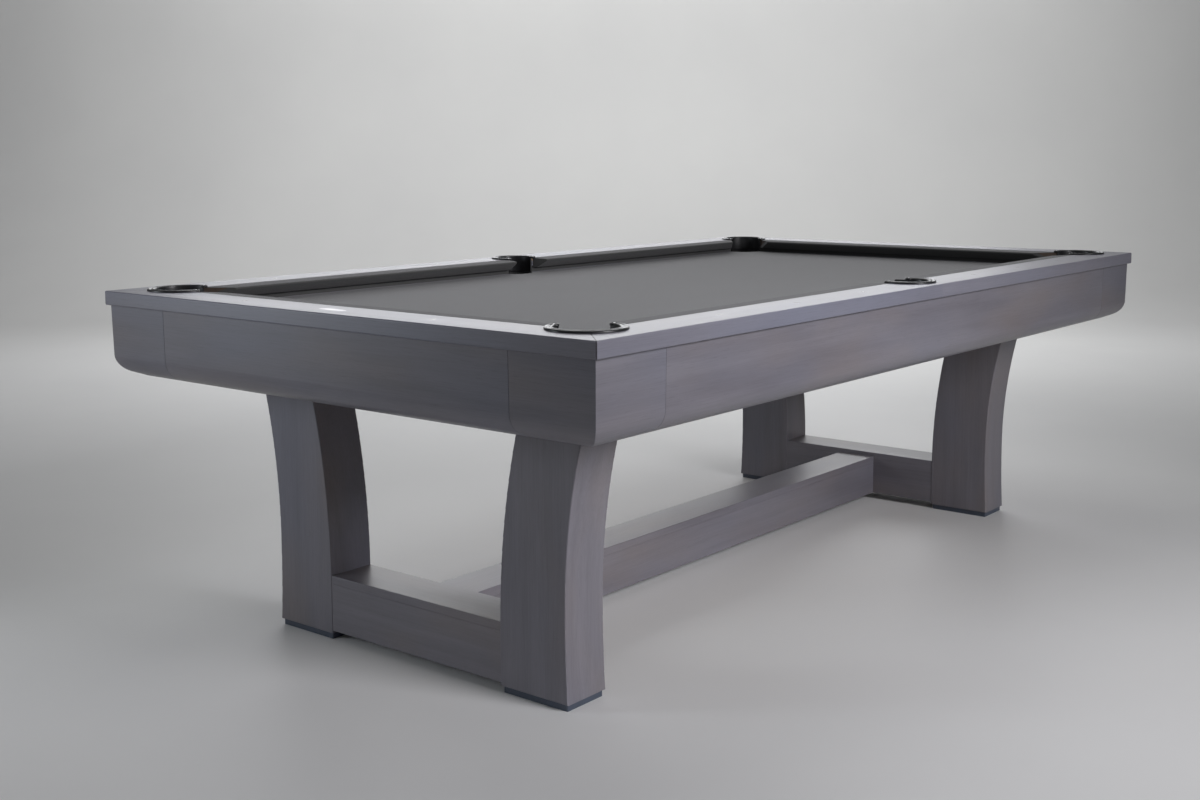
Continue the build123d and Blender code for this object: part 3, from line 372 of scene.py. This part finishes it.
def brushed_plate(name):
    """Blank satin metal plate, brushed along its length."""
    g = Graph(name)
    lines = g.noise(g.scaled(g.place(), (2600, 30, 30)), 1.0, 3.0, 0.6)
    g.feed(color=g.ramp(lines, [(0.3, (0.34, 0.34, 0.35)), (0.7, (0.52, 0.52, 0.53))]))
    g.feed(rough=g.grey(lines, 0.3, 0.7, 0.28, 0.42))
    g.set(metal=1.0, aniso=0.5)
    g.bump(lines, 0.00006, 0.5)
    return g.material


def studio_floor(name):
    """Plain pale sealed floor."""
    g = Graph(name)
    cloud = g.noise(g.place(), 0.7, 5.0, 0.55)
    g.feed(color=g.ramp(cloud, [(0.3, (0.74, 0.74, 0.735)), (0.7, (0.79, 0.79, 0.78))]))
    g.set(rough=0.55, spec=0.3)
    return g.material


def give(material, *names):
    """Puts one material on every slot of the named CAD nodes."""
    for name in names:
        mesh = nodes[name]
        if not mesh.material_slots:
            mesh.data.materials.append(material)
        for held in mesh.material_slots:
            held.material = material


# the rails' own tone, and painted shade in the groove on their mitre line
RAIL_TONE_AND_MITRE_SHADE = {"tone": 1.12, "blue": 0.9, "mitred": True}
# the number after each grain direction is the board's seed
for index, corner in enumerate(CORNERS):
    give(wood(f"leg_wood_{corner}", "Z", 1.3 + index), f"leg_{corner}")
    give(wood(f"corner_block_wood_{corner}", "MITRE", 11.7 + index, tone=0.98), f"corner_block_{corner}")
    give(wood(f"rail_wood_{corner}", "X", 21.1 + index, **RAIL_TONE_AND_MITRE_SHADE), f"rail_{corner}")
for index, side in enumerate(("left", "right")):
    give(wood(f"rail_wood_end_{side}", "Y", 31.9 + index, **RAIL_TONE_AND_MITRE_SHADE), f"rail_end_{side}")
    give(wood(f"apron_wood_{side}", "Y", 41.3 + index), f"apron_{side}")
    give(wood(f"end_stretcher_wood_{side}", "Y", 51.7 + index), f"end_stretcher_{side}")
for index, side in enumerate(("front", "back")):
    give(wood(f"apron_wood_{side}", "X", 61.1 + index), f"apron_{side}")
give(wood("centre_stretcher_wood", "X", 71.9), "centre_stretcher")

long_wood = plain_wood("frame_wood_long", "X")
give(long_wood, "frame_beam_front", "frame_beam_back", "slate_backing", "feather_strips")
cross_wood = plain_wood("frame_wood_across", "Y")
give(cross_wood, "leg_beam_left", "leg_beam_right", "slate_supports", "stretcher_dowels")
for index, name in enumerate(("slate_left", "slate_centre", "slate_right")):
    give(slate_stone(f"{name}_stone", 3.0 * index), name)
give(gum_rubber("cushion_rubber"), "cushions")
give(pearl("sight_pearl"), "sights")
give(brushed_plate("blank_plate_metal"), "name_plate")
give(matte_black("pocket_matte_black"), "pocket_buckets")
foot_paint = powder_coat("foot_powder_coat", (0.060, 0.075, 0.105), 0.45)
give(foot_paint, *[f"foot_plate_{corner}" for corner in CORNERS])
plated = steel("zinc_plate", (0.58, 0.59, 0.60), 0.38)
bright = steel("bright_zinc", (0.66, 0.66, 0.67), 0.30)
give(plated, "levelling_inserts", "leg_mount_plates", "apron_brackets")
give(bright, "leg_bolts", "frame_screws", "slate_screws", "rail_bolts", "wood_screws")
give(bright, *[f"levelling_screw_{corner}" for corner in CORNERS])


# ------------------------------------------------------------------ shared shapes
def piece(name, points, faces, material, slot, angle):
    """A new mesh that rides on the table, with edges sharper than angle, in degrees, kept sharp."""
    mesh = bpy.data.meshes.new(name)
    mesh.from_pydata(points, [], faces)
    work = bmesh.new()
    work.from_mesh(mesh)
    bmesh.ops.remove_doubles(work, verts=work.verts, dist=1e-6)
    bmesh.ops.recalc_face_normals(work, faces=work.faces)
    work.to_mesh(mesh)
    work.free()
    mesh.shade_smooth()
    mesh.set_sharp_from_angle(angle=math.radians(angle))
    for polygon in mesh.polygons:       # a large flat face is shaded flat
        if len(polygon.vertices) > 4:
            polygon.use_smooth = False
    mesh.materials.append(material)
    made = bpy.data.objects.new(name, mesh)
    bpy.context.collection.objects.link(made)
    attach(made, "root")
    return made


def rows_to_faces(rows, closed=False):
    """Quads between rows of point numbers of equal length."""
    made = []
    for low, high in zip(rows, rows[1:]):
        count = len(low)
        for index in range(count if closed else count - 1):
            after = (index + 1) % count
            made.append((low[index], low[after], high[after], high[index]))
    return made


def lathe(centre, profile, start, sweep, steps):
    """Points and faces of a closed section swept about an upright axis."""
    full = abs(sweep - 2 * math.pi) < 1e-6
    points, rows = [], []
    for index in range(steps if full else steps + 1):
        turn = start + sweep * index / steps
        row = []
        for radius, height in profile:
            row.append(len(points))
            points.append((centre[0] + radius * math.cos(turn), centre[1] + radius * math.sin(turn), height))
        rows.append(row)
    faces = rows_to_faces(rows + [rows[0]] if full else rows, closed=True)
    if not full:
        faces += [tuple(rows[0]), tuple(reversed(rows[-1]))]
    return points, faces


def joined(*shapes):
    """Several (points, faces) pairs as one."""
    points, faces = [], []
    for more_points, more_faces in shapes:
        start = len(points)
        points += more_points
        faces += [tuple(number + start for number in face) for face in more_faces]
    return points, faces


# ------------------------------------------------------------------ pockets
def pocket_facts(name):
    """Centre, well radius, outer radius and outward direction, measured on the CAD pieces."""
    side = name.split("_")[1]
    sx = {"left": -1, "right": 1}.get(side, 0)
    sy = -1 if name.startswith("front") else 1
    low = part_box("pocket_buckets")[0].z
    rim = [v.co for v in nodes["pocket_buckets"].data.vertices if v.co.z < low + 0.001 and v.co.y * sy > 0]
    rim = [p for p in rim if (p.x * sx > HALF_LENGTH / 2 if sx else abs(p.x) < HALF_LENGTH / 2)]
    xs, ys = [p.x for p in rim], [p.y for p in rim]
    centre = ((min(xs) + max(xs)) / 2, (min(ys) + max(ys)) / 2)
    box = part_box(f"pocket_collar_{name}")
    outer = box[1].y - centre[1] if sy > 0 else centre[1] - box[0].y
    return centre, (max(xs) - min(xs)) / 2, outer, math.atan2(sy, sx)


POCKETS = {name: pocket_facts(name) for name in (*CORNERS, "front_side", "back_side")}
SKIRT_WALL = 0.004
SKIRT_CLEAR = 0.0002                # cushion cloth stops this far short of a skirt
SKIRT_OVERLAP = math.radians(3)     # the skirt reaches this far round the ends of the rails
EAR_RADIUS = 0.009
SEAT = 0.0001                       # clearance between a collar and the rail under it
CUSHION_BACK = 0.112                # from the outer edge of the rails
CUSHION_NOSE = 0.1585
collar_black = gloss_black("pocket_gloss_black")
rivet_chrome = steel("rivet_chrome", (0.80, 0.80, 0.81), 0.14)


def mouth_half_angle(name):
    """Half the opening of a collar, out to the backs of the cushions."""
    (_, y), radius, _, _ = POCKETS[name]
    depth = abs(y) - (HALF_WIDTH - CUSHION_BACK)
    turn = 90 if name.endswith("side") else 45
    return math.radians(turn) - math.asin(depth / (radius + SKIRT_WALL))


def pocket_collar(name):
    """Moulded pocket rim: an inner lip, a groove, an outer bead, a skirt, and an ear at each end."""
    centre, well, outer, outward = POCKETS[name]
    top = RAIL_TOP
    foot = BED + 0.0004
    section = [
        (well + 0.0002, foot), (well, top + 0.0008), (well + 0.0003, top + 0.0030),
        (well + 0.0012, top + 0.0043), (well + 0.0028, top + 0.0049), (well + 0.0046, top + 0.0047),
        (well + 0.0058, top + 0.0038), (well + 0.0068, top + 0.0030), (well + 0.0082, top + 0.0028),
        (well + 0.0096, top + 0.0032), (outer - 0.0052, top + 0.0043), (outer - 0.0036, top + 0.0049),
        (outer - 0.0018, top + 0.0046), (outer - 0.0006, top + 0.0034), (outer, top + 0.0018),
        (outer - 0.0002, top + SEAT), (well + SKIRT_WALL, top + SEAT), (well + SKIRT_WALL, foot),
    ]
    half = mouth_half_angle(name)
    inward = outward + math.pi
    opening = half - SKIRT_OVERLAP
    shapes = [lathe(centre, section, inward + opening, 2 * math.pi - 2 * opening, steps=72)]
    ear = [
        (0.0001, top + 0.0030), (0.0040, top + 0.0030), (0.0052, top + 0.0038), (0.0066, top + 0.0049),
        (0.0080, top + 0.0046), (0.0088, top + 0.0034), (EAR_RADIUS, top + 0.0018), (0.0088, top + SEAT),
        (0.0001, top + SEAT),
    ]
    rivet = [
        (0.0001, top + 0.0050), (0.0014, top + 0.0049), (0.0026, top + 0.0044), (0.0034, top + 0.0035),
        (0.0036, top + 0.0026), (0.0001, top + 0.0026),
    ]
    rivets = []
    for turn in (inward - half, inward + half):
        reach = outer - EAR_RADIUS
        place = (centre[0] + reach * math.cos(turn), centre[1] + reach * math.sin(turn))
        shapes.append(lathe(place, ear, 0, 2 * math.pi, steps=32))
        rivets.append(lathe(place, rivet, 0, 2 * math.pi, steps=24))
    made = piece(f"collar_{name}", *joined(*shapes), collar_black, "pocket_plastic", 50)
    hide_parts(f"pocket_collar_{name}")
    piece(f"collar_rivets_{name}", *joined(*rivets), rivet_chrome, "bright_steel", 50)


for name in POCKETS:
    pocket_collar(name)

# ------------------------------------------------------------------ bed cloth
BED_X, BED_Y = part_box("bed_cloth")[1].x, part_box("bed_cloth")[1].y
SLATE_GAP = 0.0015                  # the cloth turns down this far outside a well's radius
ARC_STEPS = 40
FOLD = ((0.0004, 0.0002), (0.0008, 0.0007), (0.0010, 0.0016), (0.0010, 0.0150))     # inward and down


def bed_sheet():
    """One flat sheet over the three slates, pulled down over their edge at each pocket."""
    points, outline, folds = [], [], []
    for name in ("front_left", "front_side", "front_right", "back_right", "back_side", "back_left"):
        (x, y), well, _, outward = POCKETS[name]
        edge = well + SLATE_GAP
        ox, oy = math.cos(outward), math.sin(outward)
        arc = []
        for index in range(ARC_STEPS + 1):
            turn = outward + math.pi / 2 + math.pi * index / ARC_STEPS
            arc.append((x + edge * math.cos(turn), y + edge * math.sin(turn)))
        ends = []
        for px, py in (arc[0], arc[-1]):
            room_x = (BED_X - abs(px)) / abs(ox) if abs(ox) > 1e-6 else math.inf
            room_y = (BED_Y - abs(py)) / abs(oy) if abs(oy) > 1e-6 else math.inf
            room = min(room_x, room_y)
            ends.append((px + room * ox, py + room * oy))
        # going anticlockwise round the table, each opening is met at its later angle first
        run = [ends[1]] + arc[::-1] + [ends[0]]
        numbers = []
        for px, py in run:
            numbers.append(len(points))
            points.append((px, py, BED))
        outline += numbers
        folds.append((numbers[1:-1], (x, y), edge))
    faces = [tuple(outline)]
    for numbers, (x, y), edge in folds:
        rows = [numbers]
        for inward, down in FOLD:
            row = []
            for number in numbers:
                px, py, _ = points[number]
                share = (edge - inward) / edge
                row.append(len(points))
                points.append((x + (px - x) * share, y + (py - y) * share, BED - down))
            rows.append(row)
        faces += rows_to_faces(rows)
    made = piece("bed_cloth_sheet", points, faces, bed_felt, "cloth", 60)
    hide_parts("bed_cloth")


# ------------------------------------------------------------------ cushion covers
# reach in from the rails' outer edge, and height: from the feather strip, round the nose, down to the bed
COVER_SECTION = [
    (0.1046, RAIL_TOP - 0.0030), (0.1047, RAIL_TOP - 0.0010), (0.1052, RAIL_TOP - 0.0004),
    (0.1062, RAIL_TOP - 0.0001), (0.1120, RAIL_TOP - 0.0002), (0.1250, RAIL_TOP - 0.0007),
    (0.1400, RAIL_TOP - 0.0014), (0.1510, RAIL_TOP - 0.0019), (0.1545, RAIL_TOP - 0.0022),
    (0.1566, RAIL_TOP - 0.0027), (0.1578, RAIL_TOP - 0.0035), (0.1584, RAIL_TOP - 0.0045),
    (0.1584, RAIL_TOP - 0.0058), (0.1577, RAIL_TOP - 0.0073), (0.1562, RAIL_TOP - 0.0088),
    (0.1400, BED + 0.0224), (0.1262, BED + 0.0138), (0.1240, BED + 0.0130), (0.1134, BED + 0.0130),
    (0.1126, BED + 0.0122), (0.1124, BED + 0.0108), (0.1124, BED + 0.0006),
]
CORNER_BACK_OFF = 0.0856            # along the nose, from the field's corner to a cushion's tip
SIDE_MOUTH_HALF = 0.065             # along the nose, from the table's middle to a cushion's tip
TUCK = 0.0015                       # cloth up to this far past a cushion's back runs on to a side collar
PULLED_BEYOND = CUSHION_BACK + 0.0005       # cloth nearer the rail than this keeps its section at the ends
CORNER_SLOPE = math.tan(math.radians(38))       # of a cushion's end face, as reach over run
SIDE_SLOPE = math.tan(math.radians(76))


def cover_end(reach, along_side, kind):
    """Distance along the rail, from the table's middle, to a cover's end at this reach."""
    edge, run = (HALF_WIDTH, HALF_LENGTH) if along_side else (HALF_LENGTH, HALF_WIDTH)
    (cx, cy), well, _, _ = POCKETS["back_right" if kind == "corner" else "back_side"]
    across, along = (cy, cx) if along_side else (cx, cy)
    skirt = well + SKIRT_WALL + SKIRT_CLEAR
    offset = edge - reach - across
    arc = math.sqrt(max(skirt * skirt - offset * offset, 0.0))
    if kind == "corner":
        facing = run - CUSHION_NOSE - CORNER_BACK_OFF + (CUSHION_NOSE - reach) / CORNER_SLOPE
        return min(facing, along - arc if abs(offset) < skirt else facing)
    if reach < CUSHION_BACK + TUCK:
        return along + arc
    facing = SIDE_MOUTH_HALF - (CUSHION_NOSE - reach) / SIDE_SLOPE
    return max(facing, along + arc if abs(offset) < skirt else facing)


def cushion_cover(name, along_side, sx, sy):
    """Cloth stretched round one cushion, tucked into the rail and folded over both ends."""
    edge = HALF_WIDTH if along_side else HALF_LENGTH
    middle_reach = sum(reach for reach, _ in COVER_SECTION) / len(COVER_SECTION)
    middle_height = sum(height for _, height in COVER_SECTION) / len(COVER_SECTION)
    # distance from the end, and how far the section draws in there, which rounds the folded edge
    ends = [(0.0, 0.0007), (0.0003, 0.0003), (0.0010, 0.0001), (0.0030, 0.0)]
    stations = [(from_end, 0, inset) for from_end, inset in ends]
    stations += [(None, share, 0.0) for share in (0.02, 0.1, 0.25, 0.5, 0.75, 0.9, 0.98)]
    stations += [(from_end, 1, inset) for from_end, inset in reversed(ends)]
    points, rows = [], []
    for from_end, share, inset in stations:
        row = []
        for reach, height in COVER_SECTION:
            pull = math.hypot(middle_reach - reach, middle_height - height)
            if reach > PULLED_BEYOND:
                reach += (middle_reach - reach) / pull * inset
                height += (middle_height - height) / pull * inset
            last = cover_end(reach, along_side, "corner")
            first = cover_end(reach, along_side, "side") if along_side else -last
            if from_end is None:
                at = first + (last - first) * share
            elif share == 0:
                at = first + from_end
            else:
                at = last - from_end
            row.append(len(points))
            if along_side:
                points.append((sx * at, sy * (edge - reach), height))
            else:
                points.append((sx * (edge - reach), at, height))
        rows.append(row)
    faces = rows_to_faces(rows) + [tuple(rows[0]), tuple(rows[-1])]
    made = piece(f"cushion_cover_{name}", points, faces, shaded_cushion_felt, "cloth", 50)
    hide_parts("cushion_cloths")


bed_felt = felt("bed_felt", (0.118, 0.118, 0.117), 0.0)
# painted shade: the cushion cloth is the bed's cloth darkened for the shade on the cushion faces under their
# noses
shaded_cushion_felt = felt("shaded_cushion_felt", (0.068, 0.068, 0.067), 4.0)
bed_sheet()
for name, (sx, sy) in CORNERS.items():
    cushion_cover(name, True, sx, sy)
cushion_cover("end_left", False, -1, 1)
cushion_cover("end_right", False, 1, 1)

# ------------------------------------------------------------------ studio
FLOOR_REACH = 45.0                  # half the floor's width, and how far it runs to the front
WALL_AWAY = 7.0
COVE_RADIUS = 2.0
COVE_STEPS = 12
WALL_HEIGHT = 9.0
FLOOR_TURN = math.radians(-51.2)    # the wall stands square to the camera's view


def studio_backdrop():
    """Floor that curves up into a wall behind the table. The wall's distance is from the table's middle."""
    profile = [(-FLOOR_REACH, 0.0), (WALL_AWAY - COVE_RADIUS, 0.0)]
    for step in range(1, COVE_STEPS + 1):
        turn = math.radians(90 * step / COVE_STEPS)
        depth = WALL_AWAY - COVE_RADIUS + COVE_RADIUS * math.sin(turn)
        profile.append((depth, COVE_RADIUS - COVE_RADIUS * math.cos(turn)))
    profile.append((WALL_AWAY, WALL_HEIGHT))
    points, faces = [], []
    for depth, height in profile:
        points += [(-FLOOR_REACH, depth, height), (FLOOR_REACH, depth, height)]
    for index in range(len(profile) - 1):
        faces.append((2 * index, 2 * index + 1, 2 * index + 3, 2 * index + 2))
    mesh = bpy.data.meshes.new("floor")
    mesh.from_pydata(points, [], faces)
    mesh.shade_smooth()
    mesh.materials.append(studio_floor("studio_floor"))
    floor = bpy.data.objects.new("floor", mesh)
    floor.rotation_euler = (0, 0, FLOOR_TURN)
    bpy.context.collection.objects.link(floor)


def soft_light(name, place, aim, size, power, color=(1, 1, 1), spread=180):
    """A large rectangular softbox at place, facing aim."""
    lamp = bpy.data.lights.new(name, "AREA")
    lamp.shape = "RECTANGLE"
    lamp.size, lamp.size_y = size
    lamp.energy = power
    lamp.color = color
    lamp.spread = math.radians(spread)
    made = bpy.data.objects.new(name, lamp)
    made.location = place
    made.rotation_euler = (Vector(aim) - Vector(place)).to_track_quat("-Z", "Y").to_euler()
    made.visible_camera = False
    bpy.context.collection.objects.link(made)


studio_backdrop()
soft_light("back_light", (3.6, 3.2, 2.3), (0.2, 0, 0.7), (5.0, 1.6), 72, (0.96, 0.97, 1.0))
soft_light("top_light", (0.6, 0.8, 3.6), (0, 0, 0.7), (3.0, 2.0), 30)
soft_light("side_light", (-0.4, -4.2, 2.3), (-0.5, -0.7, 0.8), (1.6, 1.4), 25, (0.97, 0.96, 1.0), spread=70)
soft_light("left_light", (-2.7, 1.7, 1.0), (-1.3, 0.4, 0.68), (0.6, 0.8), 2.4, (0.88, 0.94, 1.0), spread=70)
soft_light("backdrop_light", (3.4, 2.8, 3.6), (5.4, 4.4, 1.2), (7.0, 1.6), 115)

world = bpy.data.worlds.new("studio")
world.use_nodes = True
background = world.node_tree.nodes["Background"]
background.inputs["Color"].default_value = (0.85, 0.87, 0.90, 1)
background.inputs["Strength"].default_value = 0.13
bpy.context.scene.world = world

# ------------------------------------------------------------------ camera
camera = bpy.data.objects.new("camera", bpy.data.cameras.new("camera"))
camera.data.sensor_width = 36.0
camera.data.lens = 43.524
camera.data.shift_x = -0.0047
camera.data.shift_y = -0.0743
camera.location = (-3.1103, -2.2116, 1.0965)
yaw, pitch, roll = 0.6771, 0.1105, -0.0035
look = Vector((math.cos(yaw) * math.cos(pitch), math.sin(yaw) * math.cos(pitch), -math.sin(pitch)))
turned = look.to_track_quat("-Z", "Y").to_matrix()
camera.rotation_euler = (turned @ Euler((0, 0, roll)).to_matrix()).to_euler()
camera.data.clip_end = 60.0
bpy.context.collection.objects.link(camera)
bpy.context.scene.camera = camera
bpy.context.scene.view_settings.view_transform = "Standard"
